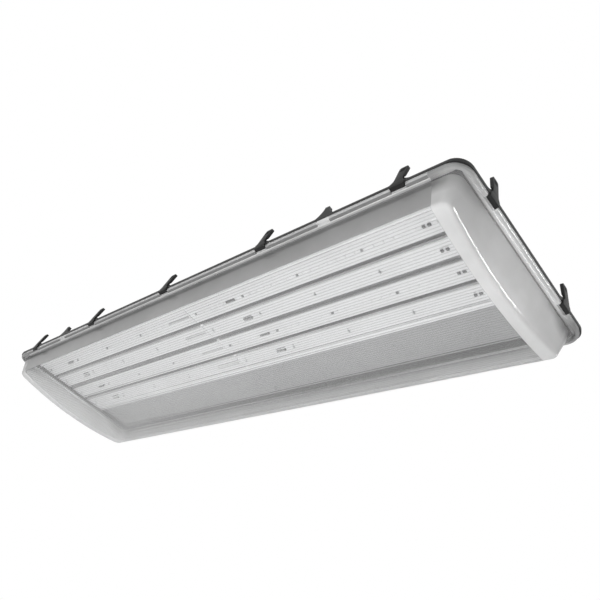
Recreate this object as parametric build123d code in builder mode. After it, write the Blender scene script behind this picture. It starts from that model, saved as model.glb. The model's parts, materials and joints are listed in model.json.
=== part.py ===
from build123d import *
import math
import os

# A wide, sealed LED light for a ceiling, 1.29 m long. A moulded tub is closed from below by one
# clear, ribbed lens, which fourteen draw latches pull against a gasket.
# The origin is on the ceiling plane, in the middle of the four fixing slots. X runs along the
# light, Y across it and Z up. All sizes are in millimetres.

os.makedirs("parts", exist_ok=True)

# LED boards, two to a row: with the margin at each end they give the light its length
board_length = 602.0
board_width = 38.0
board_thickness = 1.6
board_joint = 4.0

# The joint between lens and housing
joint_level = -92.0
row_end_margin = 41.0
flange_length = 2 * board_length + board_joint + 2 * row_end_margin
flange_width = 374.0
half_length = flange_length / 2
half_width = flange_width / 2
flange_corner = 30.0
seam_gap = 0.3
seat_gap = 0.3

# Lens flange: two beads round its underside, joined by a web
outer_bead_width = 5.6
outer_bead_depth = 7.0
outer_bead_round = 3.0
bead_groove = 1.0
inner_bead_width = 7.4
inner_bead_depth = 5.6
inner_bead_round = 2.6
flange_web = 2.4
tongue_inset = 4.4
tongue_width = 2.5
tongue_height = 3.8

# Lens bowl: sloping walls down to a convex bottom
lens_wall = 3.0
bowl_inset = 11.5
bowl_corner = 18.5
bowl_wall_depth = 49.8
bowl_side_slope = 10.8
bowl_end_slope = 16.6
bowl_corner_slope = 4.0
bowl_sag = 16.6
bowl_edge_round = 8.0
bowl_form_depth = 80.0

# Light-spreading ribs inside the bottom of the lens
rib_pitch = 5.0
rib_height = 0.2
rib_floor = 0.6
rib_zone_width = 300.0
rib_end_margin = 53.5
rib_root = 1.2

# Small locating lugs inside the lens, just under the flange
lug_pitch = 125.0
lug_count = 10
lug_length = 3.0
lug_height = 8.0
lug_drop = 3.0
lug_reach = 4.5

# Latches: the pin lies in a pocket of the outer bead
corner_latch_inset = 100.0
side_latch_count = 5
side_latch_pitch = 2 * (half_length - corner_latch_inset) / (side_latch_count - 1)
spare_pocket_x = 1.5 * side_latch_pitch
end_latch_inset = 77.0
pin_inset = 2.2
pin_drop = 4.3
pin_radius = 1.32
pin_fit = 0.08
pin_reach = 3.2
pin_hole_depth = 4.0
pocket_length = 25.0
pocket_web = 1.1
latch_side_gap = 0.5
barrel_radius = 1.9
foot_depth = 1.9
foot_rise = 2.5
arm_gap = 0.35
arm_thickness = 2.6
arm_width = 12.5
arm_neck = 16.0
hook_gap = 0.3
hook_thickness = 3.2
hook_reach = 3.5
tab_width = 13.5
tab_length = 20.0
tab_corner = 4.5
tab_top = 43.5
tab_lean = 0.5
latch_open_angle = 105.0

# Housing tub
rim_overhang = 0.8
rim_corner = 25.0
rim_chamfer = 3.0
rim_height = 9.0
groove_inset = 2.5
groove_width = 6.5
groove_depth = 7.0
gasket_side_gap = 0.1
housing_wall = 3.2
tub_inset = 8.8
tub_corner = 22.0
tub_height = 78.0
tub_side_slope = 38.0
tub_end_slope = 30.0
tub_top_corner = 26.0
tub_top_round = 12.0
catch_rise = 27.3
catch_low_rise = 6.6
catch_base_width = 36.0
catch_top_width = 8.0
catch_depth = 7.0

# Posts inside the tub that carry the gear tray
post_radius = 6.0
post_end_inset = 85.0
post_side_inset = 36.5
post_x = half_length - post_end_inset
post_y = half_width - post_side_inset
post_height = 36.0

# Gear tray: folded sheet with four raised platforms for the boards
tray_sheet = 1.0
tray_end_margin = 8.0
tray_side_gap = 27.0
tray_length = 2 * (board_length + tray_end_margin) + board_joint
tray_width = flange_width - 2 * tray_side_gap
tray_level = 7.0
tray_lip = 14.0
row_count = 4
row_pitch = 49.5
first_row_inset = 76.75
platform_width = 42.0
edge_platform_extra = 10.0

# What the boards carry
board_joint_x = -2.0
board_end_margin = 15.0
board_far_margin = 37.0
board_screw_count = 5
board_hole_radius = 1.65
connector_x = 119.0
connector_length = 23.0
connector_width = 5.0
connector_height = 2.6
plug_end_inset = 58.0
plug_pitch = 9.0
plug_size = 4.6
link_length = 66.0
link_width = 4.0
link_height = 1.6

# White edge reflectors beside the outer rows
reflector_width = 9.0
reflector_height = 2.4
reflector_gap = 2.0

# Screws
board_screw_radius = 1.55
board_screw_head = 2.7
board_screw_head_height = 1.2
board_screw_length = 3.6
tray_screw_radius = 2.0
tray_screw_head = 4.0
tray_screw_head_height = 2.4
tray_screw_length = 12.0
screw_fit = 0.1
bracket_screw_radius = 2.5
bracket_screw_head = 5.0
bracket_screw_head_height = 3.0
bracket_screw_length = 10.0

# Drivers and terminal block on top of the tray
driver_length = 280.0
driver_width = 58.0
driver_height = 34.0
driver_round = 3.0
driver_foot = 14.0
driver_foot_thickness = 1.5
driver_x = 190.0
driver_y = 108.0
driver_screw_radius = 2.0
driver_screw_head = 4.0
driver_screw_head_height = 2.4
terminal_length = 46.0
terminal_width = 20.0
terminal_height = 18.0
terminal_end_inset = 165.0
terminal_x = terminal_end_inset - half_length
terminal_poles = 3
terminal_well_radius = 3.0
terminal_well_depth = 6.0
lead_radius = 2.6
lead_entry = 8.0

# Hanger brackets on the back
bracket_x = 400.0
bracket_width = 44.0
bracket_sheet = 2.0
bracket_half_length = 132.0
bracket_flat_half = 88.0
bracket_jog = 8.0
bracket_boss_radius = 8.0
bracket_screw_y = 66.0
slot_y = 115.0
slot_radius = 4.25
slot_length = 20.0

# Cable gland on the far end
gland_y = 0.0
gland_rise = 45.0
gland_pad_radius = 18.0
gland_pad_inset = 16.0
gland_pad_x = half_length - gland_pad_inset
gland_pad_length = 16.0
gland_thread_radius = 10.0
gland_thread_length = 18.0
gland_fit = 0.1
gland_bore = 6.5
gland_hex = 24.0
gland_hex_length = 7.0
gland_nut_length = 16.0
gland_seal_radius = 8.4
gland_seal_length = 12.0
gland_nut_round = 1.5
gland_cable_radius = 5.0

# Worked out from the sizes above
flange_band = outer_bead_width + bead_groove + inner_bead_width
rim_level = joint_level + seam_gap
rim_top = joint_level + rim_height
tub_top = joint_level + tub_height
pin_level = joint_level - pin_drop
board_seat = joint_level
tray_base = joint_level + tray_level
bowl_half_width = half_width - bowl_inset - bowl_side_slope
bottom_radius = (bowl_half_width**2 + bowl_sag**2) / (2 * bowl_sag)
bottom_centre = joint_level - bowl_wall_depth - bowl_sag + bottom_radius
boss_top = tub_top + (-joint_level - tub_height - bracket_sheet - bracket_jog)
row_ys = [first_row_inset - half_width + row_pitch * row for row in range(row_count)]


def flange_outline(inset):
    """The rounded outline of the flange, drawn in by an inset."""
    RectangleRounded(
        flange_length - 2 * inset, flange_width - 2 * inset, flange_corner - inset
    )


def flange_ring(outer_inset, width, low, high):
    """A flat ring that follows the flange, between two heights."""
    with BuildPart() as ring:
        with BuildSketch(Plane.XY.offset(low)):
            flange_outline(outer_inset)
            with BuildSketch(mode=Mode.SUBTRACT):
                flange_outline(outer_inset + width)
        extrude(amount=high - low)
    return ring.part


def flange_bead(outer_inset, width, depth, radius):
    """A bead under the flange with its outer lower edge rounded."""
    with BuildPart() as bead:
        add(flange_ring(outer_inset, width, joint_level - depth, joint_level))
        outer_loop = bead.faces().sort_by(Axis.Z)[0].outer_wire().edges()
        fillet(outer_loop, radius=radius)
    return bead.part


def side_locations(offsets, inset, level):
    """Places along both long sides, each turned to look outwards."""
    reach = half_width - inset
    left = [Location((x, -reach, level), (0, 0, 180)) for x in offsets]
    right = [Location((x, reach, level), (0, 0, 0)) for x in offsets]
    return left + right


def end_locations(offsets, inset, level):
    """Places along both ends, each turned to look outwards."""
    reach = half_length - inset
    near = [Location((reach, y, level), (0, 0, -90)) for y in offsets]
    far = [Location((-reach, y, level), (0, 0, 90)) for y in offsets]
    return near + far


side_offsets = [
    side_latch_pitch * (i - (side_latch_count - 1) / 2) for i in range(side_latch_count)
]
end_latch_y = half_width - end_latch_inset
side_places = side_locations(side_offsets, pin_inset, pin_level)
end_places = end_locations([-end_latch_y, end_latch_y], pin_inset, pin_level)
latch_places = side_places + end_places
spare_places = side_locations([-spare_pocket_x, spare_pocket_x], pin_inset, pin_level)
pocket_places = latch_places + spare_places


def save(part, name):
    """Label a finished piece and write it."""
    part.label = name
    export_step(part, f"parts/{name}.step")


# Lens

def bowl_form(inset):
    """The solid form of the bowl, drawn in by an inset on every side."""
    depth_share = bowl_form_depth / bowl_wall_depth
    top_length = flange_length - 2 * (bowl_inset + inset)
    top_width = flange_width - 2 * (bowl_inset + inset)
    low_length = top_length - 2 * bowl_end_slope * depth_share
    low_width = top_width - 2 * bowl_side_slope * depth_share
    radius = bottom_radius - inset
    reach = half_width
    arc_end = bottom_centre - math.sqrt(radius**2 - reach**2)
    with BuildPart() as form:
        with BuildSketch(Plane.XY.offset(joint_level)):
            RectangleRounded(top_length, top_width, bowl_corner - inset)
        with BuildSketch(Plane.XY.offset(joint_level - bowl_form_depth)):
            RectangleRounded(
                low_length, low_width, bowl_corner - inset - bowl_corner_slope * depth_share
            )
        loft(ruled=True)
        with BuildSketch(Plane.YZ):
            with BuildLine():
                ThreePointArc((-reach, arc_end), (0, bottom_centre - radius), (reach, arc_end))
                Polyline((reach, arc_end), (reach, 0), (-reach, 0), (-reach, arc_end))
            make_face()
        extrude(amount=flange_length, both=True, mode=Mode.INTERSECT)
        bottom = form.faces().sort_by(Axis.Z)[0]
        fillet(bottom.edges(), radius=bowl_edge_round - inset)
    return form.part


def rib_layer():
    """The corrugated layer of ribs on the inner face of the bottom."""
    inner_radius = bottom_radius - lens_wall
    half_zone = rib_zone_width / 2
    steps = 2 * round(rib_zone_width / rib_pitch)
    points = []
    for i in range(steps + 1):
        y = -half_zone + i * rib_zone_width / steps
        lift = rib_floor + (rib_height if i % 2 else 0)
        points.append((y, bottom_centre - math.sqrt((inner_radius - lift) ** 2 - y**2)))
    root_radius = inner_radius + rib_root
    root_end = bottom_centre - math.sqrt(root_radius**2 - half_zone**2)
    with BuildPart() as ribs:
        with BuildSketch(Plane.YZ):
            with BuildLine():
                Polyline(points)
                Line(points[-1], (half_zone, root_end))
                ThreePointArc(
                    (half_zone, root_end), (0, bottom_centre - root_radius), (-half_zone, root_end)
                )
                Line((-half_zone, root_end), points[0])
            make_face()
        extrude(amount=half_length - rib_end_margin, both=True)
    return ribs.part


lug_offsets = [lug_pitch * (i - (lug_count - 1) / 2) for i in range(lug_count)]
lug_y = half_width - bowl_inset - lens_wall + 1 - lug_reach / 2
lug_level = joint_level - lug_drop - lug_height / 2

with BuildPart() as lens:
    add(bowl_form(0))
    add(flange_bead(0, outer_bead_width, outer_bead_depth, outer_bead_round))
    inner_bead_inset = outer_bead_width + bead_groove
    add(flange_bead(inner_bead_inset, inner_bead_width, inner_bead_depth, inner_bead_round))
    add(flange_ring(0, flange_band, joint_level - flange_web, joint_level))
    add(flange_ring(tongue_inset, tongue_width, joint_level, joint_level + tongue_height))
    add(bowl_form(lens_wall), mode=Mode.SUBTRACT)
    add(rib_layer())
    with Locations(*[(x, side * lug_y, lug_level) for x in lug_offsets for side in (-1, 1)]):
        Box(lug_length, lug_reach, lug_height)
    with Locations(*pocket_places):
        pocket_back = outer_bead_width - pin_inset
        pocket_low = pin_drop - outer_bead_depth - 1
        with Locations((0, -pocket_back, pocket_low)):
            Box(
                pocket_length,
                pocket_back + pin_inset + 1,
                pin_drop - pocket_web - pocket_low,
                align=(Align.CENTER, Align.MIN, Align.MIN),
                mode=Mode.SUBTRACT,
            )
        Cylinder(
            pin_radius + pin_fit,
            pocket_length + 2 * pin_hole_depth,
            rotation=(0, 90, 0),
            mode=Mode.SUBTRACT,
        )
save(lens.part, "lens")


# Housing

def tub_form(inset):
    """The tapering solid form of the tub, drawn in by an inset on every side."""
    low_length = flange_length - 2 * (tub_inset + inset)
    low_width = flange_width - 2 * (tub_inset + inset)
    with BuildPart() as form:
        with BuildSketch(Plane.XY.offset(rim_level)):
            RectangleRounded(low_length, low_width, tub_corner - inset)
        with BuildSketch(Plane.XY.offset(tub_top - inset)):
            RectangleRounded(
                low_length - 2 * tub_end_slope, low_width - 2 * tub_side_slope, tub_top_corner - inset
            )
        loft(ruled=True)
        fillet(form.faces().sort_by(Axis.Z)[-1].edges(), radius=tub_top_round - inset)
    return form.part


def catch_boss(top_level):
    """A catch standing on the rim, seen from a latch place: concave flanks up to a flat top."""
    low = rim_top - rim_chamfer - pin_level
    high = top_level - pin_level
    with BuildPart() as boss:
        with BuildSketch(Plane.XZ.offset(-catch_face)):
            with BuildLine():
                ThreePointArc(
                    (catch_base_width / 2, low),
                    (catch_base_width / 3.4, low + (high - low) * 0.32),
                    (catch_top_width / 2, high),
                )
                Line((catch_top_width / 2, high), (-catch_top_width / 2, high))
                ThreePointArc(
                    (-catch_top_width / 2, high),
                    (-catch_base_width / 3.4, low + (high - low) * 0.32),
                    (-catch_base_width / 2, low),
                )
                Line((-catch_base_width / 2, low), (catch_base_width / 2, low))
            make_face()
        extrude(amount=catch_depth)
    return boss.part


catch_face = pin_inset + rim_overhang
hook_radius = rim_top + catch_low_rise - pin_level
catch_low_top = rim_top + catch_low_rise
post_places = [(x, y) for x in (-post_x, 0, post_x) for y in (-post_y, post_y)]
bracket_screw_places = [
    (x, y) for x in (-bracket_x, bracket_x) for y in (-bracket_screw_y, bracket_screw_y)
]
gland_level = joint_level + gland_rise

with BuildPart() as rim:
    with BuildSketch(Plane.XY.offset(rim_level)):
        RectangleRounded(
            flange_length + 2 * rim_overhang, flange_width + 2 * rim_overhang, rim_corner
        )
    extrude(amount=rim_top - rim_level)
    chamfer(rim.faces().sort_by(Axis.Z)[-1].edges(), length=rim_chamfer)

with BuildPart() as housing:
    add(tub_form(0))
    add(rim.part)
    with Locations(*latch_places):
        add(catch_boss(catch_low_top))
    with Locations(*spare_places):
        add(catch_boss(joint_level + catch_rise))
    with Locations((-gland_pad_x, gland_y, gland_level)):
        Cylinder(
            gland_pad_radius,
            gland_pad_length,
            rotation=(0, 90, 0),
            align=(Align.CENTER, Align.CENTER, Align.MIN),
        )
    with BuildSketch(Plane.XY.offset(tub_top - housing_wall)):
        with Locations(*bracket_screw_places):
            Circle(bracket_boss_radius)
    extrude(amount=boss_top - tub_top + housing_wall)
    add(tub_form(housing_wall), mode=Mode.SUBTRACT)
    gasket_groove = flange_ring(groove_inset, groove_width, joint_level, rim_level + groove_depth)
    add(gasket_groove, mode=Mode.SUBTRACT)
    with BuildSketch(Plane.XY.offset(tray_base + tray_sheet)):
        with Locations(*post_places):
            Circle(post_radius)
    extrude(amount=post_height)
    with BuildSketch(Plane.XY.offset(tub_top - 2 * housing_wall)):
        with Locations(*bracket_screw_places):
            Circle(bracket_boss_radius)
    extrude(amount=2 * housing_wall)
    with BuildSketch(Plane.XY.offset(tray_base)):
        with Locations(*post_places):
            Circle(tray_screw_radius + screw_fit)
    extrude(amount=tray_screw_length + 1, mode=Mode.SUBTRACT)
    with BuildSketch(Plane.XY.offset(boss_top)):
        with Locations(*bracket_screw_places):
            Circle(bracket_screw_radius + screw_fit)
    extrude(amount=-bracket_screw_length + bracket_sheet - 0.5, mode=Mode.SUBTRACT)
    with Locations((-gland_pad_x, gland_y, gland_level)):
        Cylinder(
            gland_thread_radius + gland_fit,
            2 * gland_thread_length,
            rotation=(0, 90, 0),
            mode=Mode.SUBTRACT,
        )
save(housing.part, "housing")

with BuildPart() as gasket:
    add(
        flange_ring(
            groove_inset + gasket_side_gap,
            groove_width - 2 * gasket_side_gap,
            joint_level + tongue_height,
            rim_level + groove_depth,
        )
    )
save(gasket.part, "gasket")


# Latches: each is one moulded lever, drawn at its own pin

def hook_level(radius, y):
    """Height of a circle about the pin at a distance from it."""
    return math.sqrt(radius**2 - y**2)


arm_inner = catch_face + arm_gap
arm_outer = arm_inner + arm_thickness
hook_tip = arm_inner - hook_reach
hook_low = hook_radius + hook_gap + 0.4
hook_high = hook_low + hook_thickness

with BuildPart() as latch:
    with BuildSketch(Plane.YZ):
        with BuildLine():
            Polyline(
                (0, -foot_depth),
                (arm_outer - 1, -foot_depth),
                (arm_outer, -foot_depth + 1),
                (arm_outer, hook_high),
                (arm_outer - tab_lean, tab_top),
                (arm_outer - tab_lean - arm_thickness, tab_top),
                (arm_inner - 0.8, hook_level(hook_high, arm_inner) + 1),
                (hook_tip, hook_level(hook_high, hook_tip)),
                (hook_tip, hook_level(hook_low, hook_tip)),
                (arm_inner, hook_level(hook_low, arm_inner)),
                (arm_inner, foot_rise),
                (0, foot_rise),
                (0, -foot_depth),
            )
        make_face()
    extrude(amount=pocket_length / 2 - latch_side_gap, both=True)
    with BuildSketch(Plane.XZ):
        foot_half = pocket_length / 2 - latch_side_gap
        shoulder = foot_rise + 9
        with BuildLine():
            Polyline(
                (-arm_width / 2, shoulder),
                (-foot_half, foot_rise + 1.5),
                (-foot_half, -foot_depth - 1),
                (foot_half, -foot_depth - 1),
                (foot_half, foot_rise + 1.5),
            )
            ThreePointArc(
                (foot_half, foot_rise + 1.5), (arm_neck / 2, foot_rise + 3.6), (arm_width / 2, shoulder)
            )
            Polyline(
                (arm_width / 2, shoulder),
                (arm_width / 2, tab_top - tab_length / 2),
                (-arm_width / 2, tab_top - tab_length / 2),
                (-arm_width / 2, shoulder),
            )
        make_face()
        with Locations((0, tab_top - tab_length / 2)):
            RectangleRounded(tab_width, tab_length, tab_corner)
    extrude(amount=pocket_length, both=True, mode=Mode.INTERSECT)
    Cylinder(barrel_radius, 2 * foot_half, rotation=(0, 90, 0))
    Cylinder(pin_radius, pocket_length + 2 * pin_reach, rotation=(0, 90, 0))

latch_names = [f"latch_left_{i + 1}" for i in range(side_latch_count)]
latch_names += [f"latch_right_{i + 1}" for i in range(side_latch_count)]
latch_names += ["latch_near_1", "latch_near_2", "latch_far_1", "latch_far_2"]
for name, place in zip(latch_names, latch_places):
    save(latch.part.moved(place), name)


# Gear tray, boards and what is screwed to them

def grouped_boxes(places, level, length, width, height):
    """Separate equal blocks that hang down from one level."""
    with BuildPart() as group:
        with BuildSketch(Plane.XY.offset(level - height)):
            with Locations(*places):
                Rectangle(length, width)
        extrude(amount=height)
    return group.part


def screw_group(places, seat, head, head_height, shank, length, up):
    """Separate equal screws with their heads on one level, pointing up or down."""
    way = 1 if up else -1
    with BuildPart() as group:
        with BuildSketch(Plane.XY.offset(seat)):
            with Locations(*places):
                Circle(head)
        extrude(amount=-way * head_height)
        with BuildSketch(Plane.XY.offset(seat)):
            with Locations(*places):
                Circle(shank)
        extrude(amount=way * (length - head_height))
        with BuildSketch(Plane.XY.offset(seat - way * head_height)):
            with Locations(*places):
                Rectangle(head, 0.5)
                Rectangle(0.5, head)
        extrude(amount=way * head_height / 2, mode=Mode.SUBTRACT)
    return group.part


board_spread = (board_length + board_joint) / 2
board_xs = [board_joint_x - board_spread, board_joint_x + board_spread]
board_screw_pitch = (board_length - board_end_margin - board_far_margin) / (board_screw_count - 1)
screw_offsets = [
    -board_length / 2 + board_end_margin + i * board_screw_pitch for i in range(board_screw_count)
]
board_centres = [(x, y) for y in row_ys for x in board_xs]

# The jumper between two boards covers the last screw hole of the first one, so no screw is there
covered_x = board_xs[0] + screw_offsets[-1]
board_screw_places = [(x + dx, y) for x, y in board_centres for dx in screw_offsets]
board_screw_places = [(x, y) for x, y in board_screw_places if x != covered_x]
driver_places = [(-driver_x, driver_y), (driver_x, driver_y)]
driver_screw_places = [
    (x + end * (driver_length / 2 + driver_foot / 2), y)
    for x, y in driver_places
    for end in (-1, 1)
]
reflector_shift = board_width / 2 + reflector_gap + reflector_width / 2
reflector_ys = [row_ys[0] - reflector_shift, row_ys[-1] + reflector_shift]
platforms = [(y, platform_width) for y in row_ys]
platforms[0] = (row_ys[0] - edge_platform_extra / 2, platform_width + edge_platform_extra)
platforms[-1] = (row_ys[-1] + edge_platform_extra / 2, platform_width + edge_platform_extra)

with BuildPart() as gear_tray:
    with BuildSketch(Plane.XY.offset(tray_base)):
        Rectangle(tray_length, tray_width)
    extrude(amount=tray_sheet)
    with BuildSketch(Plane.XY.offset(tray_base)):
        for side in (-1, 1):
            with Locations((0, side * (tray_width - tray_sheet) / 2)):
                Rectangle(tray_length, tray_sheet)
    extrude(amount=tray_lip)
    with BuildSketch(Plane.XY.offset(board_seat)):
        for y, width in platforms:
            with Locations((0, y)):
                Rectangle(tray_length, width)
    extrude(amount=tray_level + tray_sheet)
    with BuildSketch(Plane.XY.offset(board_seat + tray_sheet)):
        for y, width in platforms:
            with Locations((0, y)):
                Rectangle(tray_length, width - 2 * tray_sheet)
    extrude(amount=tray_level + tray_sheet, mode=Mode.SUBTRACT)
    with BuildSketch(Plane.XY.offset(board_seat - 1)):
        with Locations(*board_screw_places):
            Circle(board_screw_radius + screw_fit)
        with Locations(*post_places):
            Circle(tray_screw_radius + screw_fit)
        with Locations(*driver_screw_places):
            Circle(driver_screw_radius + screw_fit)
    extrude(amount=tray_level + 4, mode=Mode.SUBTRACT)
save(gear_tray.part, "gear_tray")

for row, y in enumerate(row_ys):
    for x, side in zip(board_xs, ("a", "b")):
        with BuildPart() as board:
            with BuildSketch(Plane.XY.offset(board_seat - board_thickness)):
                with Locations((x, y)):
                    Rectangle(board_length, board_width)
                with Locations(*[(x + dx, y) for dx in screw_offsets]):
                    Circle(board_hole_radius, mode=Mode.SUBTRACT)
            extrude(amount=board_thickness)
        save(board.part, f"led_board_{row + 1}{side}")

board_face = board_seat - board_thickness
left_ends = [(x - board_length / 2, y) for x, y in board_centres]
connector_places = [(x + connector_x, y) for x, y in left_ends]
plug_places = [
    (x + board_length - plug_end_inset + shift, y)
    for x, y in left_ends
    if x > board_xs[0]
    for shift in (-plug_pitch / 2, plug_pitch / 2)
]
link_places = [(board_joint_x - board_joint - link_length / 2 - 2, y) for y in row_ys]
connectors = grouped_boxes(
    connector_places, board_face, connector_length, connector_width, connector_height
)
save(connectors, "board_connectors")
save(grouped_boxes(plug_places, board_face, plug_size, plug_size, connector_height), "board_plugs")
save(grouped_boxes(link_places, board_face, link_length, link_width, link_height), "board_links")
for name, y in zip(("edge_reflector_left", "edge_reflector_right"), reflector_ys):
    strip = grouped_boxes([(0, y)], board_seat, 2 * board_length, reflector_width, reflector_height)
    save(strip, name)
board_screws = screw_group(
    board_screw_places,
    board_face,
    board_screw_head,
    board_screw_head_height,
    board_screw_radius,
    board_screw_length + board_screw_head_height,
    True,
)
save(board_screws, "board_screws")
tray_screws = screw_group(
    post_places,
    tray_base,
    tray_screw_head,
    tray_screw_head_height,
    tray_screw_radius,
    tray_screw_length,
    True,
)
save(tray_screws, "tray_screws")

tray_top = tray_base + tray_sheet
for number, (x, y) in enumerate(driver_places):
    with BuildPart() as driver:
        with BuildSketch(Plane.XY.offset(tray_top)):
            with Locations((x, y)):
                Rectangle(driver_length, driver_width)
        extrude(amount=driver_height)
        fillet(driver.edges().filter_by(Axis.X).group_by(Axis.Z)[-1], radius=driver_round)
        with BuildSketch(Plane.XY.offset(tray_top)):
            with Locations((x, y)):
                Rectangle(driver_length + 2 * driver_foot, driver_width / 2)
        extrude(amount=driver_foot_thickness)
        with BuildSketch(Plane.XY.offset(tray_top)):
            with Locations(*driver_screw_places):
                Circle(driver_screw_radius + screw_fit)
        extrude(amount=driver_foot_thickness, mode=Mode.SUBTRACT)
    save(driver.part, f"led_driver_{number + 1}")
driver_screws = screw_group(
    driver_screw_places,
    tray_top + driver_foot_thickness,
    driver_screw_head,
    driver_screw_head_height,
    driver_screw_radius,
    driver_screw_head_height + driver_foot_thickness + 2 * tray_sheet,
    False,
)
save(driver_screws, "driver_screws")

with BuildPart() as terminal_block:
    with BuildSketch(Plane.XY.offset(tray_top)):
        with Locations((terminal_x, driver_y)):
            Rectangle(terminal_length, terminal_width)
    extrude(amount=terminal_height)
    pole_pitch = terminal_length / (terminal_poles + 1)
    with BuildSketch(Plane.XY.offset(tray_top + terminal_height)):
        for pole in range(terminal_poles):
            with Locations((terminal_x + pole_pitch * (pole - 1), driver_y)):
                Circle(terminal_well_radius)
    extrude(amount=-terminal_well_depth, mode=Mode.SUBTRACT)
save(terminal_block.part, "terminal_block")

with BuildPart() as driver_leads:
    lead_ends = [
        (terminal_x + terminal_length / 2, -driver_x - driver_length / 2),
        (-driver_x + driver_length / 2, driver_x - driver_length / 2),
    ]
    for start, end in lead_ends:
        with BuildSketch(Plane.YZ.offset(start)):
            with Locations((driver_y, tray_top + lead_entry)):
                Circle(lead_radius)
        extrude(amount=end - start)
save(driver_leads.part, "driver_leads")


# Hanger brackets: each lies on two bosses of the tub and steps up to the ceiling at its ends

bracket_low = boss_top
for number, x in enumerate((-bracket_x, bracket_x)):
    with BuildPart() as bracket:
        with BuildSketch(Plane.YZ.offset(x - bracket_width / 2)):
            with BuildLine():
                step_end = bracket_flat_half + bracket_jog
                profile = [
                    (-bracket_half_length, bracket_low + bracket_jog),
                    (-step_end, bracket_low + bracket_jog),
                    (-bracket_flat_half, bracket_low),
                    (bracket_flat_half, bracket_low),
                    (step_end, bracket_low + bracket_jog),
                    (bracket_half_length, bracket_low + bracket_jog),
                ]
                upper = [(y, z + bracket_sheet) for y, z in reversed(profile)]
                Polyline(*profile, *upper, close=True)
            make_face()
        extrude(amount=bracket_width)
        with BuildSketch(Plane.XY.offset(bracket_low - 1)):
            for y in (-slot_y, slot_y):
                with Locations((x, y)):
                    SlotOverall(slot_length, 2 * slot_radius)
            for y in (-bracket_screw_y, bracket_screw_y):
                with Locations((x, y)):
                    Circle(bracket_screw_radius + screw_fit)
        extrude(amount=bracket_jog + 2 * bracket_sheet, mode=Mode.SUBTRACT)
    save(bracket.part, f"hanger_bracket_{number + 1}")
bracket_screws = screw_group(
    bracket_screw_places,
    bracket_low + bracket_sheet,
    bracket_screw_head,
    bracket_screw_head_height,
    bracket_screw_radius,
    bracket_screw_length,
    False,
)
save(bracket_screws, "bracket_screws")


# Cable gland

def tube(start, length, outer, inner):
    """A length of tube that points outwards from a distance along the far end."""
    with BuildPart() as piece:
        with Locations((-start, gland_y, gland_level)):
            Cylinder(
                outer, length, rotation=(0, -90, 0), align=(Align.CENTER, Align.CENTER, Align.MIN)
            )
            Cylinder(
                inner,
                length,
                rotation=(0, -90, 0),
                align=(Align.CENTER, Align.CENTER, Align.MIN),
                mode=Mode.SUBTRACT,
            )
    return piece.part


gland_face = gland_pad_x + gland_hex_length
with BuildPart() as gland_body:
    add(tube(gland_pad_x - gland_thread_length, gland_thread_length, gland_thread_radius, gland_bore))
    with BuildSketch(Plane.YZ.offset(-gland_face)):
        with Locations((gland_y, gland_level)):
            RegularPolygon(gland_hex / 2, 6, major_radius=False)
            Circle(gland_bore, mode=Mode.SUBTRACT)
    extrude(amount=gland_hex_length)
    add(tube(gland_face, gland_seal_length, gland_thread_radius, gland_seal_radius))
save(gland_body.part, "gland_body")
seal_outer = gland_seal_radius - gland_fit
save(tube(gland_face, gland_seal_length, seal_outer, gland_cable_radius), "gland_seal")
with BuildPart() as gland_nut:
    nut_start = gland_face + seat_gap
    add(tube(nut_start, gland_nut_length, gland_hex / 2, gland_thread_radius + gland_fit))
    fillet(gland_nut.faces().sort_by(Axis.X)[0].outer_wire().edges(), radius=gland_nut_round)
    nut_end = nut_start + gland_nut_length
    end_wall = nut_end - gland_face - gland_seal_length
    add(tube(nut_end - end_wall, end_wall, gland_thread_radius + 1, gland_bore))
save(gland_nut.part, "gland_nut")
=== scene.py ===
import json
from math import cos, pi, radians, sin

import bmesh
import bpy
from mathutils import Matrix, Vector


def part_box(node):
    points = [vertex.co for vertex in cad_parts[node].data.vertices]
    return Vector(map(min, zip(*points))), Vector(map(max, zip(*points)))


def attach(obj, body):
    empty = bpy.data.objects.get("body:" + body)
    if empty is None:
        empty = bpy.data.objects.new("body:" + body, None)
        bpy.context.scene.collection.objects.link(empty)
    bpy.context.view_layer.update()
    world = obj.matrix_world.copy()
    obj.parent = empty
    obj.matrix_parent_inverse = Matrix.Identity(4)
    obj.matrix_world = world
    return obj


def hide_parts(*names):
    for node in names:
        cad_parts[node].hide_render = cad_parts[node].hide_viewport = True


# The look of the sealed LED light. Metres, in the CAD frame: X along the light, Z up to the ceiling.
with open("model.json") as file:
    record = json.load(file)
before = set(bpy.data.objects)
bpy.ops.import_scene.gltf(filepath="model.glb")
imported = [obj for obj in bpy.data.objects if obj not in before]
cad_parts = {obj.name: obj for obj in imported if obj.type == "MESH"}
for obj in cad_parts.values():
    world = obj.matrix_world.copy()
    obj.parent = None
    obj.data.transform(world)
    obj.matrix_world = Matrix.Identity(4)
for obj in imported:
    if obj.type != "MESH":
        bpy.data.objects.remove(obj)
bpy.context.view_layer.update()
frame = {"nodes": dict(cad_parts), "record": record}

BOARD_SEAT = -0.092
BOARD_FACE = BOARD_SEAT - 0.0016
ROW_PITCH = 0.0495
ROW_CENTRE = -0.036
ROWS = [ROW_CENTRE + ROW_PITCH * (row - 1.5) for row in range(4)]
LEFT_ENDS = [-0.606, 0.0]
FROST_START = 0.5915
RIB_PITCH = 0.005
WALL_START = 0.1645
BOTTOM_LEVEL = BOARD_SEAT - 0.0649
BOTTOM_CURVE = 0.606
PIN_LEVEL = BOARD_SEAT - 0.0043
FLANGE_START_X = 0.6335
FLANGE_START_Y = 0.1755
WALL_TOP = -0.097
RIB_TOP = -0.117
END_WALL_START = 0.612
ROWS_FROM = -0.141
ROWS_TO = 0.069
CHANNEL_LEVEL = -0.0905


# Node helpers

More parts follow.
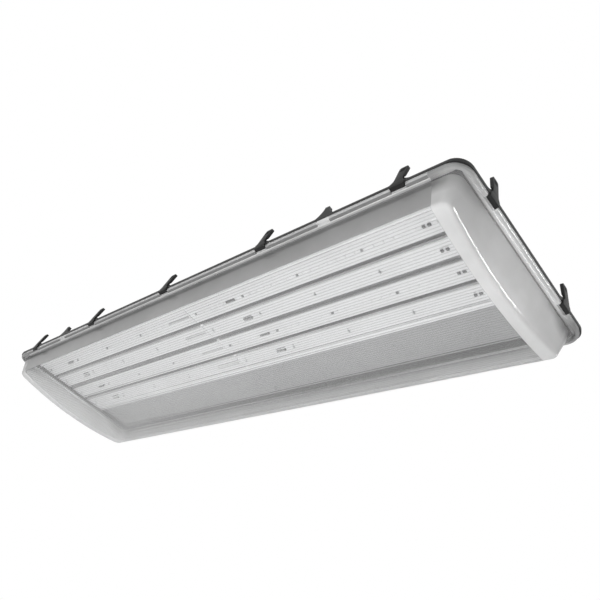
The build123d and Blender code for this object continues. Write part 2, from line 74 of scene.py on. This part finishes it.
def add_node(tree, kind, **values):
    """A new node; names that are its settings are set, all others are its inputs."""
    node = tree.nodes.new(kind)
    for key, value in values.items():
        if hasattr(node, key):
            setattr(node, key, value)
        else:
            node.inputs[key.replace("_", " ")].default_value = value
    return node


def math_node(tree, operation, first, second=None, third=None):
    """One math step; each input is a socket or a number."""
    node = tree.nodes.new("ShaderNodeMath")
    node.operation = operation
    for index, value in enumerate((first, second, third)):
        if value is None:
            continue
        if isinstance(value, (int, float)):
            node.inputs[index].default_value = value
        else:
            tree.links.new(value, node.inputs[index])
    return node.outputs[0]


def product(tree, first, *others):
    """All the inputs multiplied, from left to right."""
    for other in others:
        first = math_node(tree, "MULTIPLY", first, other)
    return first


def clamped(tree, value, start, slope):
    """0 at the start, then up to 1 at the slope."""
    risen = math_node(tree, "MULTIPLY", math_node(tree, "SUBTRACT", value, start), slope)
    risen.node.use_clamp = True
    return risen


def position(tree):
    """The place in the CAD frame, as x, y and z."""
    coordinates = tree.nodes.new("ShaderNodeTexCoord")
    split = tree.nodes.new("ShaderNodeSeparateXYZ")
    tree.links.new(coordinates.outputs["Object"], split.inputs[0])
    return coordinates.outputs["Object"], split.outputs[0], split.outputs[1], split.outputs[2]


def new_group(name, inputs, outputs):
    """An empty shader node group with its sockets."""
    group = bpy.data.node_groups.new(name, "ShaderNodeTree")
    for label, kind, value in inputs:
        socket = group.interface.new_socket(label, in_out="INPUT", socket_type=kind)
        if value is not None:
            socket.default_value = value
    for label, kind in outputs:
        group.interface.new_socket(label, in_out="OUTPUT", socket_type=kind)
    return group, group.nodes.new("NodeGroupInput"), group.nodes.new("NodeGroupOutput")


def make_grain():
    """Fine moulded or sprayed grain: a value that varies, and a bumped normal."""
    group, start, end = new_group(
        "surface_grain",
        [
            ("Vector", "NodeSocketVector", None),
            ("Scale", "NodeSocketFloat", 900.0),
            ("Height", "NodeSocketFloat", 0.00003),
            ("Stretch", "NodeSocketVector", (1.0, 1.0, 1.0)),
        ],
        [("Value", "NodeSocketFloat"), ("Cloud", "NodeSocketFloat"), ("Normal", "NodeSocketVector")],
    )
    stretch = group.nodes.new("ShaderNodeVectorMath")
    stretch.operation = "MULTIPLY"
    group.links.new(start.outputs["Vector"], stretch.inputs[0])
    group.links.new(start.outputs["Stretch"], stretch.inputs[1])
    fine = add_node(group, "ShaderNodeTexNoise", Detail=3.0, Roughness=0.6)
    group.links.new(stretch.outputs[0], fine.inputs["Vector"])
    group.links.new(start.outputs["Scale"], fine.inputs["Scale"])
    cloud = add_node(group, "ShaderNodeTexNoise", Scale=9.0, Detail=4.0)
    group.links.new(start.outputs["Vector"], cloud.inputs["Vector"])
    bump = add_node(group, "ShaderNodeBump", Strength=1.0)
    group.links.new(fine.outputs["Fac"], bump.inputs["Height"])
    group.links.new(start.outputs["Height"], bump.inputs["Distance"])
    group.links.new(fine.outputs["Fac"], end.inputs["Value"])
    group.links.new(cloud.outputs["Fac"], end.inputs["Cloud"])
    group.links.new(bump.outputs["Normal"], end.inputs["Normal"])
    return group


def make_line_mask():
    """A thin line along X at a distance from the middle of each board row."""
    group, start, end = new_group(
        "row_line",
        [
            ("Y", "NodeSocketFloat", 0.0),
            ("Offset", "NodeSocketFloat", 0.0),
            ("Half width", "NodeSocketFloat", 0.0002),
        ],
        [("Mask", "NodeSocketFloat")],
    )
    shifted = math_node(group, "SUBTRACT", start.outputs["Y"], ROWS[0] - ROW_PITCH / 2)
    local = math_node(group, "FLOORED_MODULO", shifted, ROW_PITCH)
    from_middle = math_node(group, "ABSOLUTE", math_node(group, "SUBTRACT", local, ROW_PITCH / 2))
    away = math_node(
        group, "ABSOLUTE", math_node(group, "SUBTRACT", from_middle, start.outputs["Offset"])
    )
    group.links.new(
        math_node(group, "LESS_THAN", away, start.outputs["Half width"]), end.inputs["Mask"]
    )
    return group


GRAIN = make_grain()
ROW_LINE = make_line_mask()


def new_material(name):
    """A material with its Principled node and its output."""
    material = bpy.data.materials.new(name)
    material.use_nodes = True
    tree = material.node_tree
    return material, tree, tree.nodes["Principled BSDF"], tree.nodes["Material Output"]


def grained(name, dark, light, roughness, scale=900.0, height=0.00003, stretch=(1, 1, 1), **values):
    """A surface whose tone, roughness and normal vary with its grain."""
    material, tree, shader, _ = new_material(name)
    place, _, _, _ = position(tree)
    grain = tree.nodes.new("ShaderNodeGroup")
    grain.node_tree = GRAIN
    grain.inputs["Scale"].default_value = scale
    grain.inputs["Height"].default_value = height
    grain.inputs["Stretch"].default_value = stretch
    tree.links.new(place, grain.inputs["Vector"])
    ramp = tree.nodes.new("ShaderNodeValToRGB")
    ramp.color_ramp.elements[0].position = 0.3
    ramp.color_ramp.elements[0].color = (dark, dark, dark * 1.01, 1)
    ramp.color_ramp.elements[1].position = 0.7
    ramp.color_ramp.elements[1].color = (light, light, light * 1.005, 1)
    mixed = math_node(tree, "MULTIPLY_ADD", grain.outputs["Value"], 0.5, 0.0)
    tone = math_node(tree, "MULTIPLY_ADD", grain.outputs["Cloud"], 0.5, mixed)
    tree.links.new(tone, ramp.inputs[0])
    tree.links.new(ramp.outputs[0], shader.inputs["Base Color"])
    rough = math_node(tree, "MULTIPLY_ADD", grain.outputs["Value"], 0.16, roughness - 0.08)
    tree.links.new(rough, shader.inputs["Roughness"])
    tree.links.new(grain.outputs["Normal"], shader.inputs["Normal"])
    for key, value in values.items():
        shader.inputs[key.replace("_", " ")].default_value = value
    return material


def board_material():
    """White solder mask with faint copper edges under it."""
    material = grained("board_mask", 0.465, 0.515, 0.38, scale=700.0, height=0.00001)
    tree = material.node_tree
    shader = tree.nodes["Principled BSDF"]
    _, _, y, _ = position(tree)
    colour = shader.inputs["Base Color"].links[0].from_socket
    masks = []
    for offset, half in ((0.0125, 0.00022), (0.0165, 0.00022)):
        line = tree.nodes.new("ShaderNodeGroup")
        line.node_tree = ROW_LINE
        line.inputs["Offset"].default_value = offset
        line.inputs["Half width"].default_value = half
        tree.links.new(y, line.inputs["Y"])
        masks.append(line.outputs["Mask"])
    mask = math_node(tree, "MULTIPLY", math_node(tree, "MAXIMUM", *masks), 0.3)
    mix = add_node(tree, "ShaderNodeMix", data_type="RGBA")
    tree.links.new(mask, mix.inputs["Factor"])
    tree.links.new(colour, mix.inputs[6])
    mix.inputs[7].default_value = (0.45, 0.45, 0.45, 1)
    tree.links.new(mix.outputs[2], shader.inputs["Base Color"])
    return material


def tray_material():
    """Grey coat, with painted shade in the channels between the board rows and painted light on the
    tray seen through the board joint.
    """
    material = grained("tray_coat", 0.2, 0.24, 0.42, scale=1100.0, height=0.000008)
    tree = material.node_tree
    shader = tree.nodes["Principled BSDF"]
    _, x, y, z = position(tree)
    colour = shader.inputs["Base Color"].links[0].from_socket
    inside = product(
        tree,
        math_node(tree, "GREATER_THAN", y, ROWS_FROM),
        math_node(tree, "LESS_THAN", y, ROWS_TO),
    )
    # Painted shade: the channel floors between the board rows are darkened as if shade fell into
    # these recesses.
    channel_painted_shade = product(tree, inside, math_node(tree, "GREATER_THAN", z, CHANNEL_LEVEL))
    mix = add_node(tree, "ShaderNodeMix", data_type="RGBA")
    tree.links.new(math_node(tree, "MULTIPLY", channel_painted_shade, 0.3), mix.inputs["Factor"])
    tree.links.new(colour, mix.inputs[6])
    mix.inputs[7].default_value = (0.06, 0.06, 0.06, 1)
    # Painted light: the tray seen through the joint between the boards is made pale, to cancel the
    # shade in that narrow gap.
    from_joint = math_node(tree, "ABSOLUTE", math_node(tree, "ADD", x, 0.002))
    by_joint = math_node(tree, "LESS_THAN", from_joint, 0.004)
    joint_painted_light = product(tree, inside, math_node(tree, "LESS_THAN", z, CHANNEL_LEVEL), by_joint)
    joint_light_mix = add_node(tree, "ShaderNodeMix", data_type="RGBA")
    tree.links.new(math_node(tree, "MULTIPLY", joint_painted_light, 0.85), joint_light_mix.inputs["Factor"])
    tree.links.new(mix.outputs[2], joint_light_mix.inputs[6])
    joint_light_mix.inputs[7].default_value = (0.72, 0.72, 0.72, 1)
    tree.links.new(joint_light_mix.outputs[2], shader.inputs["Base Color"])
    return material


def lens_material():
    """Clear moulding with frosted ends, and painted shade on its walls, rib lines and end corners.
    Lamps shine through it onto the boards.
    """
    material, tree, shader, output = new_material("lens_clear")
    place, x, y, z = position(tree)
    shader.inputs["Base Color"].default_value = (0.97, 0.975, 0.975, 1)
    shader.inputs["Metallic"].default_value = 0.0
    shader.inputs["Transmission Weight"].default_value = 1.0
    shader.inputs["IOR"].default_value = 1.08
    shader.inputs["Roughness"].default_value = 0.03
    shader.inputs["Coat Weight"].default_value = 0.6
    shader.inputs["Coat IOR"].default_value = 1.58
    shader.inputs["Coat Roughness"].default_value = 0.04
    frosted = tree.nodes.new("ShaderNodeBsdfPrincipled")
    frosted.inputs["Roughness"].default_value = 0.26
    frosted.inputs["Coat Weight"].default_value = 0.35
    frosted.inputs["Coat Roughness"].default_value = 0.07
    frosted.inputs["IOR"].default_value = 1.5
    frosted.inputs["Specular IOR Level"].default_value = 0.25
    grain = tree.nodes.new("ShaderNodeGroup")
    grain.node_tree = GRAIN
    grain.inputs["Scale"].default_value = 1400.0
    grain.inputs["Height"].default_value = 0.00001
    tree.links.new(place, grain.inputs["Vector"])
    tree.links.new(grain.outputs["Normal"], frosted.inputs["Normal"])
    milk = tree.nodes.new("ShaderNodeValToRGB")
    milk.color_ramp.elements[0].position = 0.35
    milk.color_ramp.elements[0].color = (0.82, 0.82, 0.82, 1)
    milk.color_ramp.elements[1].position = 0.6
    milk.color_ramp.elements[1].color = (0.95, 0.95, 0.95, 1)
    tree.links.new(grain.outputs["Cloud"], milk.inputs[0])
    away_x = math_node(tree, "ABSOLUTE", x)
    away_y = math_node(tree, "ABSOLUTE", y)
    along = clamped(tree, away_x, FROST_START, 1200.0)
    below = clamped(tree, z, WALL_TOP, -600.0)
    ends = product(tree, along, below, 0.78)
    side = math_node(tree, "SUBTRACT", away_y, FLANGE_START_Y)
    end_side = math_node(tree, "SUBTRACT", away_x, FLANGE_START_X)
    outside = clamped(tree, math_node(tree, "MAXIMUM", side, end_side), 0.0, 2500.0)
    flange = product(tree, outside, 0.72)
    grazing = add_node(tree, "ShaderNodeLayerWeight", Blend=0.35)
    middle = math_node(tree, "SUBTRACT", 1.0, along)

    # Painted shade: dark lines along the rib grooves on the inner surface of the bottom, in place of
    # the dark lines that refraction through each rib would give
    rib = math_node(tree, "FLOORED_MODULO", y, RIB_PITCH)
    line = math_node(tree, "LESS_THAN", rib, RIB_PITCH * 0.28)
    crown = math_node(tree, "MULTIPLY_ADD", product(tree, y, y), BOTTOM_CURVE, BOTTOM_LEVEL)
    low = product(
        tree,
        math_node(tree, "LESS_THAN", z, RIB_TOP),
        math_node(tree, "GREATER_THAN", z, crown),
    )
    between = math_node(tree, "LESS_THAN", away_y, WALL_START)
    rib_shade_lines = product(tree, line, low, between, middle)

    # Long walls: painted shade, greyer towards the flange, with a darker painted band under it in
    # place of the dark housing inside seen through the wall
    wall = product(tree, clamped(tree, away_y, WALL_START, 700.0), below, middle)
    rise = clamped(tree, z, -0.143, 19.0)
    share = math_node(tree, "MULTIPLY_ADD", rise, 0.35, 0.4)
    flange_shade_band = clamped(tree, z, -0.107, 300.0)
    share = math_node(tree, "MULTIPLY_ADD", flange_shade_band, 0.22, share)
    wall_painted_shade = product(tree, wall, share)

    # End walls: painted shade, a little grey overall and darker in cloudy patches towards the upper
    # corners
    sideways = clamped(tree, away_y, 0.1, 22.0)
    high = clamped(tree, z, -0.122, 60.0)
    cloud = clamped(tree, grain.outputs["Cloud"], 0.36, 7.0)
    cloud = math_node(tree, "MULTIPLY_ADD", cloud, 0.5, 0.5)
    corner_painted_shade = product(tree, sideways, high, along, cloud, 0.75)
    end_wall_painted_shade = product(tree, clamped(tree, away_x, END_WALL_START, 140.0), below, 0.1)

    # All the painted shade on the lens, which darkens the milky frost towards grey.
    long_painted_shade = math_node(tree, "MAXIMUM", rib_shade_lines, wall_painted_shade)
    end_painted_shade = math_node(tree, "MAXIMUM", corner_painted_shade, end_wall_painted_shade)
    painted_shade = math_node(tree, "MAXIMUM", long_painted_shade, end_painted_shade)
    tone = add_node(tree, "ShaderNodeMix", data_type="RGBA")
    tree.links.new(painted_shade, tone.inputs["Factor"])
    tree.links.new(milk.outputs[0], tone.inputs[6])
    tone.inputs[7].default_value = (0.18, 0.18, 0.18, 1)
    tree.links.new(tone.outputs[2], frosted.inputs["Base Color"])
    # Frost: a faint veil at grazing angles, more over the rib lines and most over the long walls, so
    # that their painted shade shows.
    veil = product(tree, grazing.outputs["Facing"], 0.16)
    haze = math_node(tree, "MULTIPLY_ADD", rib_shade_lines, 0.22, veil)
    haze = math_node(tree, "MULTIPLY_ADD", wall, 0.88, haze)
    frost = math_node(tree, "MAXIMUM", math_node(tree, "MAXIMUM", ends, flange), haze)
    body = tree.nodes.new("ShaderNodeMixShader")
    tree.links.new(frost, body.inputs[0])
    tree.links.new(shader.outputs[0], body.inputs[1])
    tree.links.new(frosted.outputs[0], body.inputs[2])
    clear = add_node(tree, "ShaderNodeBsdfTransparent")
    clear.inputs[0].default_value = (0.93, 0.93, 0.93, 1)
    path = tree.nodes.new("ShaderNodeLightPath")
    whole = tree.nodes.new("ShaderNodeMixShader")
    tree.links.new(path.outputs["Is Shadow Ray"], whole.inputs[0])
    tree.links.new(body.outputs[0], whole.inputs[1])
    tree.links.new(clear.outputs[0], whole.inputs[2])
    tree.links.new(whole.outputs[0], output.inputs["Surface"])
    return material


brushed = dict(scale=400.0, height=0.00001, Metallic=1.0)
SLOT_LOOKS = {
    "housing": grained("housing_plastic", 0.028, 0.04, 0.5, Specular_IOR_Level=0.25),
    "latch": grained(
        "latch_plastic", 0.019, 0.027, 0.55, scale=1300.0, height=0.00002, Specular_IOR_Level=0.25
    ),
    "lens": lens_material(),
    "seal": grained("seal_foam", 0.02, 0.035, 0.85, scale=1500.0, height=0.0001),
    "tray": tray_material(),
    "board": board_material(),
    "connectors": grained("connector_plastic", 0.07, 0.11, 0.45, scale=1500.0),
    "links": grained("link_plastic", 0.3, 0.36, 0.4, scale=1500.0),
    "reflector": grained("reflector_white", 0.52, 0.58, 0.25, scale=600.0, height=0.00001),
    "screws": grained("screw_zinc", 0.22, 0.34, 0.3, **brushed),
    "driver": grained("driver_coat", 0.6, 0.66, 0.4, scale=1000.0),
    "terminal": grained("terminal_plastic", 0.6, 0.68, 0.4, scale=1200.0),
    "lead": grained("lead_sleeve", 0.05, 0.07, 0.5, scale=800.0),
    "bracket": grained("bracket_steel", 0.42, 0.55, 0.3, stretch=(6, 0.2, 1), **brushed),
    "gland": grained("gland_plastic", 0.05, 0.065, 0.45, scale=1300.0),
}
slot_of = {part["node"]: part["material_slot"] for part in frame["record"]["subparts"]}
for node_name, node in frame["nodes"].items():
    node.data.materials.clear()
    node.data.materials.append(SLOT_LOOKS[slot_of[node_name]])


# Latches: wide foot on its pin, narrow arm with a hook, thumb tab that leans in slightly

ARM_INNER = 0.00335
ARM_OUTER = 0.00595
FOOT_HALF = 0.012
PIN_HALF = 0.0157
TAB_END = 0.0485
TAB_ROUND = 0.0043
TAB_HALF = 0.0074
TAB_THICK = 0.0054
HOOK_TOP = 0.0238
LEAN_START = 0.012
LEAN = 0.14
STATIONS = [
    (-0.0016, 0.0112),
    (-0.001, FOOT_HALF),
    (0.0045, FOOT_HALF),
    (0.0065, 0.0113),
    (0.0085, 0.0093),
    (0.0105, 0.0075),
    (0.013, 0.0069),
    (0.0165, 0.0067),
    (0.0202, 0.0067),
    (0.0238, 0.0068),
    (0.03, 0.0071),
    (0.036, TAB_HALF),
]
OUTWARD = {"left": (0, -1), "right": (0, 1), "near": (1, 0), "far": (-1, 0)}


def lean_at(level):
    """How far the tab stands inwards at a height over the pin."""
    over = max(0.0, level - LEAN_START)
    return LEAN * over * over / (over + 0.003) if over else 0.0


def inner_at(level, outer):
    """The inner face: flat where it passes the catch, full thickness above the hook."""
    share = min(1.0, max(0.0, (level - 0.0202) / (HOOK_TOP - 0.0202)))
    return (1 - share) * ARM_INNER + share * (outer - TAB_THICK)


def slab_ring(level, half, inner, outer, edge=0.0009):
    """A rounded oblong across the latch, as points (across, outward, up)."""
    ring = []
    middles = ((half - edge, outer - edge, 0), (edge - half, outer - edge, 90),
               (edge - half, inner + edge, 180), (half - edge, inner + edge, 270))
    for across, out, first in middles:
        for step in range(4):
            angle = radians(first + step * 30)
            ring.append((across + edge * cos(angle), out + edge * sin(angle), level))
    return ring


def round_ring(across, radius, count=20):
    """A circle about the pin's line."""
    return [
        (across, radius * cos(2 * pi * step / count), radius * sin(2 * pi * step / count))
        for step in range(count)
    ]


def skin(mesh, rings):
    """Closes a skin over a row of rings."""
    rows = [[mesh.verts.new(point) for point in ring] for ring in rings]
    for low, high in zip(rows, rows[1:]):
        for index in range(len(low)):
            follow = (index + 1) % len(low)
            mesh.faces.new((low[index], low[follow], high[follow], high[index]))
    mesh.faces.new(rows[0][::-1])
    mesh.faces.new(rows[-1])


def latch_mesh():
    """One latch about its pin."""
    mesh = bmesh.new()
    arm = []
    for level, half in STATIONS:
        outer = ARM_OUTER - lean_at(level)
        arm.append(slab_ring(level, half, inner_at(level, outer), outer, edge=0.0006))
    for step in range(7):
        angle = radians(88 * step / 6)
        level = TAB_END - TAB_ROUND + TAB_ROUND * sin(angle)
        outer = ARM_OUTER - lean_at(level)
        half = TAB_HALF - TAB_ROUND + TAB_ROUND * cos(angle)
        slim = 0.0004 * (1 - cos(angle))
        arm.append(slab_ring(level, half, inner_at(level, outer) + slim, outer - slim, edge=0.0006))
    skin(mesh, arm)
    foot = [
        slab_ring(level, FOOT_HALF - 0.0002, -0.0008, ARM_INNER + 0.001, edge=0.0007)
        for level in (-0.0013, 0.0023)
    ]
    skin(mesh, foot)
    hook = [
        slab_ring(level, 0.0056, 0.0001 + rise, ARM_INNER + 0.0012, edge=0.0005)
        for level, rise in ((0.0207, 0.0003), (0.0212, 0.0), (0.0232, 0.0), (0.0238, 0.0006))
    ]
    skin(mesh, hook)
    skin(mesh, [round_ring(across, 0.0019) for across in (-FOOT_HALF, FOOT_HALF)])
    skin(mesh, [round_ring(across, 0.00132) for across in (-PIN_HALF, PIN_HALF)])
    for grip in range(4):
        level = 0.0355 + grip * 0.0026
        shift = lean_at(level)
        bar = [
            [(across, out - shift + ARM_OUTER, level + up) for out, up in
             ((-0.0003, -0.0006), (0.0004, -0.0002), (0.0004, 0.0002), (-0.0003, 0.0006))]
            for across in (-0.0042, 0.0042)
        ]
        skin(mesh, bar)
    bmesh.ops.recalc_face_normals(mesh, faces=mesh.faces)
    for face in mesh.faces:
        face.smooth = True
    return mesh


for name in [node for node in frame["nodes"] if node.startswith("latch_")]:
    low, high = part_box(name)
    out = Vector((*OUTWARD[name.split("_")[1]], 0.0))
    across = Vector((-out.y, out.x, 0.0))
    middle = (Vector(low) + Vector(high)) / 2
    reach = max(Vector(low).dot(out), Vector(high).dot(out))
    pin = across * middle.dot(across) + out * (reach - ARM_OUTER)
    pin.z = PIN_LEVEL
    built = latch_mesh()
    place = Matrix((across, out, (0, 0, 1))).transposed().to_4x4()
    built.transform(Matrix.Translation(pin) @ place)
    bmesh.ops.recalc_face_normals(built, faces=built.faces)
    mesh = bpy.data.meshes.new(name + "_moulding")
    built.to_mesh(mesh)
    built.free()
    mesh.materials.append(SLOT_LOOKS["latch"])
    mesh.set_sharp_from_angle(angle=radians(40))
    piece = bpy.data.objects.new(name + "_moulding", mesh)
    bpy.context.collection.objects.link(piece)
    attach(piece, name)
    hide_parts(name)


# What repeats on the boards

def shape_node(tree, shape, size):
    """A small block or disc, with its base on the point."""
    if shape == "block":
        node = tree.nodes.new("GeometryNodeMeshCube")
        node.inputs["Size"].default_value = size
    else:
        node = tree.nodes.new("GeometryNodeMeshCylinder")
        node.inputs["Vertices"].default_value = 16
        node.inputs["Radius"].default_value = size[0] / 2
        node.inputs["Depth"].default_value = size[2]
    return node.outputs["Mesh"]


def make_rows(name, shape, size, pitch, count, points, level, material):
    """Equal small pieces in a row from each point, hanging from a level."""
    tree = bpy.data.node_groups.new(name, "GeometryNodeTree")
    tree.interface.new_socket("Geometry", in_out="INPUT", socket_type="NodeSocketGeometry")
    tree.interface.new_socket("Pitch", in_out="INPUT", socket_type="NodeSocketFloat")
    tree.interface.new_socket("Count", in_out="INPUT", socket_type="NodeSocketInt")
    tree.interface.new_socket("Geometry", in_out="OUTPUT", socket_type="NodeSocketGeometry")
    start = tree.nodes.new("NodeGroupInput")
    end = tree.nodes.new("NodeGroupOutput")
    line = tree.nodes.new("GeometryNodeMeshLine")
    step = tree.nodes.new("ShaderNodeCombineXYZ")
    tree.links.new(start.outputs["Pitch"], step.inputs["X"])
    tree.links.new(start.outputs["Count"], line.inputs["Count"])
    tree.links.new(step.outputs[0], line.inputs["Offset"])
    each = tree.nodes.new("GeometryNodeInstanceOnPoints")
    tree.links.new(line.outputs[0], each.inputs["Points"])
    tree.links.new(shape_node(tree, shape, size), each.inputs["Instance"])
    rows = tree.nodes.new("GeometryNodeInstanceOnPoints")
    tree.links.new(start.outputs["Geometry"], rows.inputs["Points"])
    tree.links.new(each.outputs[0], rows.inputs["Instance"])
    solid = tree.nodes.new("GeometryNodeRealizeInstances")
    paint = tree.nodes.new("GeometryNodeSetMaterial")
    paint.inputs["Material"].default_value = material
    tree.links.new(rows.outputs[0], solid.inputs[0])
    tree.links.new(solid.outputs[0], paint.inputs["Geometry"])
    tree.links.new(paint.outputs[0], end.inputs[0])
    mesh = bpy.data.meshes.new(name)
    mesh.from_pydata([(x, y, level - size[2] / 2) for x, y in points], [], [])
    piece = bpy.data.objects.new(name, mesh)
    bpy.context.collection.objects.link(piece)
    modifier = piece.modifiers.new("rows", "NODES")
    modifier.node_group = tree
    inputs = [item for item in tree.interface.items_tree if item.in_out == "INPUT"]
    sockets = {item.name: item.identifier for item in inputs}
    modifier[sockets["Pitch"]] = pitch
    modifier[sockets["Count"]] = count
    bpy.context.view_layer.update()
    finished = bpy.data.meshes.new_from_object(
        piece.evaluated_get(bpy.context.evaluated_depsgraph_get())
    )
    piece.modifiers.clear()
    piece.data = finished
    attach(piece, "fixture")
    return piece


led_case = grained("led_case", 0.52, 0.58, 0.35, scale=2500.0, height=0.00001)
led_phosphor = grained("led_phosphor", 0.4, 0.46, 0.3, scale=3000.0, height=0.00001)
chip_black = grained("chip_black", 0.05, 0.08, 0.4, scale=3000.0)
pad_metal = grained("pad_metal", 0.5, 0.62, 0.35, **brushed)
LED_PITCH = 0.0186
LED_COUNT = 31
LED_HEIGHT = 0.0006
CONNECTOR_HEIGHT = 0.0026
led_points = [(x + 0.0218, y) for x in LEFT_ENDS for y in ROWS]
make_rows(
    "led_packages",
    "block",
    (0.003, 0.003, LED_HEIGHT),
    LED_PITCH,
    LED_COUNT,
    led_points,
    BOARD_FACE,
    led_case,
)
make_rows(
    "led_lenses",
    "disc",
    (0.0022, 0.0022, 0.0002),
    LED_PITCH,
    LED_COUNT,
    led_points,
    BOARD_FACE - LED_HEIGHT,
    led_phosphor,
)
dot_points = [(x + 0.033, y + 0.006) for x in LEFT_ENDS for y in ROWS]
make_rows(
    "test_pads",
    "disc",
    (0.0018, 0.0018, 0.0001),
    0.0055,
    10,
    dot_points,
    BOARD_FACE,
    pad_metal,
)
contact_points = [(x + 0.111, y) for x in LEFT_ENDS for y in ROWS]
make_rows(
    "connector_contacts",
    "block",
    (0.0016, 0.0026, 0.0003),
    0.004,
    5,
    contact_points,
    BOARD_FACE - CONNECTOR_HEIGHT,
    pad_metal,
)


# Camera at the photograph's viewing angle
eye = Vector((0.9462, -0.5461, -0.7687))
ahead = Vector((-0.6402, 0.449, 0.6234)).normalized()
right = ahead.cross(Vector((0.2526, -0.6433, 0.7228))).normalized()
up = right.cross(ahead)
camera_data = bpy.data.cameras.new("camera")
camera_data.lens = 37.0
camera_data.sensor_width = 36.0
camera = bpy.data.objects.new("camera", camera_data)
bpy.context.collection.objects.link(camera)
turn = Matrix((right, up, -ahead)).transposed().to_4x4()
camera.matrix_world = Matrix.Translation(eye) @ turn
bpy.context.scene.camera = camera
bpy.context.scene.view_settings.view_transform = "Standard"


# Pale floor, white backdrop and soft lamps

def white_for_camera(tree, shaded, output):
    """Shows plain white to the camera and to mirror-like and clear surfaces."""
    path = tree.nodes.new("ShaderNodeLightPath")
    seen = math_node(
        tree, "MAXIMUM", path.outputs["Is Camera Ray"], path.outputs["Is Transmission Ray"]
    )
    seen = math_node(tree, "MAXIMUM", seen, path.outputs["Is Glossy Ray"])
    is_world = shaded.node.type == "BACKGROUND"
    white = tree.nodes.new("ShaderNodeBackground" if is_world else "ShaderNodeEmission")
    white.inputs[0].default_value = (1, 1, 1, 1)
    white.inputs[1].default_value = 1.0
    mix = tree.nodes.new("ShaderNodeMixShader")
    tree.links.new(seen, mix.inputs[0])
    tree.links.new(shaded, mix.inputs[1])
    tree.links.new(white.outputs[0], mix.inputs[2])
    tree.links.new(mix.outputs[0], output)


world = bpy.data.worlds.new("studio")
bpy.context.scene.world = world
world.use_nodes = True
background = world.node_tree.nodes["Background"]
background.inputs[0].default_value = (1, 1, 1, 1)
background.inputs[1].default_value = 0.13
world_output = world.node_tree.nodes["World Output"]
white_for_camera(world.node_tree, background.outputs[0], world_output.inputs[0])

floor_mesh = bpy.data.meshes.new("floor")
floor_corners = [(x, y, -1.6) for x, y in ((-9, -9), (9, -9), (9, 9), (-9, 9))]
floor_mesh.from_pydata(floor_corners, [], [(0, 1, 2, 3)])
floor = bpy.data.objects.new("floor", floor_mesh)
bpy.context.collection.objects.link(floor)
floor_look, floor_tree, floor_shader, floor_output = new_material("floor_pale")
floor_shader.inputs["Base Color"].default_value = (0.8, 0.8, 0.8, 1)
floor_shader.inputs["Roughness"].default_value = 0.8
white_for_camera(floor_tree, floor_shader.outputs[0], floor_output.inputs[0])
floor_mesh.materials.append(floor_look)


def add_lamp(name, place, target, size, power, length=None, mirrored=False):
    """A soft lamp that faces a point. A mirrored one gives reflections and nothing else."""
    lamp_data = bpy.data.lights.new(name, "AREA")
    lamp_data.size = size
    if length:
        lamp_data.shape = "RECTANGLE"
        lamp_data.size_y = length
    lamp_data.energy = power
    lamp = bpy.data.objects.new(name, lamp_data)
    bpy.context.collection.objects.link(lamp)
    lamp.visible_glossy = mirrored
    lamp.visible_diffuse = not mirrored
    lamp.location = place
    lamp.rotation_euler = (Vector(target) - Vector(place)).to_track_quat("-Z", "Y").to_euler()


add_lamp("key_lamp", (1.6, -1.4, -1.2), (0.2, 0, -0.1), 1.2, 9)
add_lamp("fill_lamp", (-0.6, -1.8, -1.3), (-0.2, 0, -0.1), 1.4, 3)
add_lamp(
    "ridge_lamp",
    (1.7, 0.65, 0),
    (0.61, -0.05, -0.155),
    0.45,
    18,
    length=0.3,
    mirrored=True,
)
add_lamp("under_lamp", (0.25, -0.3, -1.5), (0.05, 0, -0.1), 1.2, 11.5)
add_lamp("top_lamp", (0.6, 1.2, 1.6), (0, 0, 0), 1.5, 20)
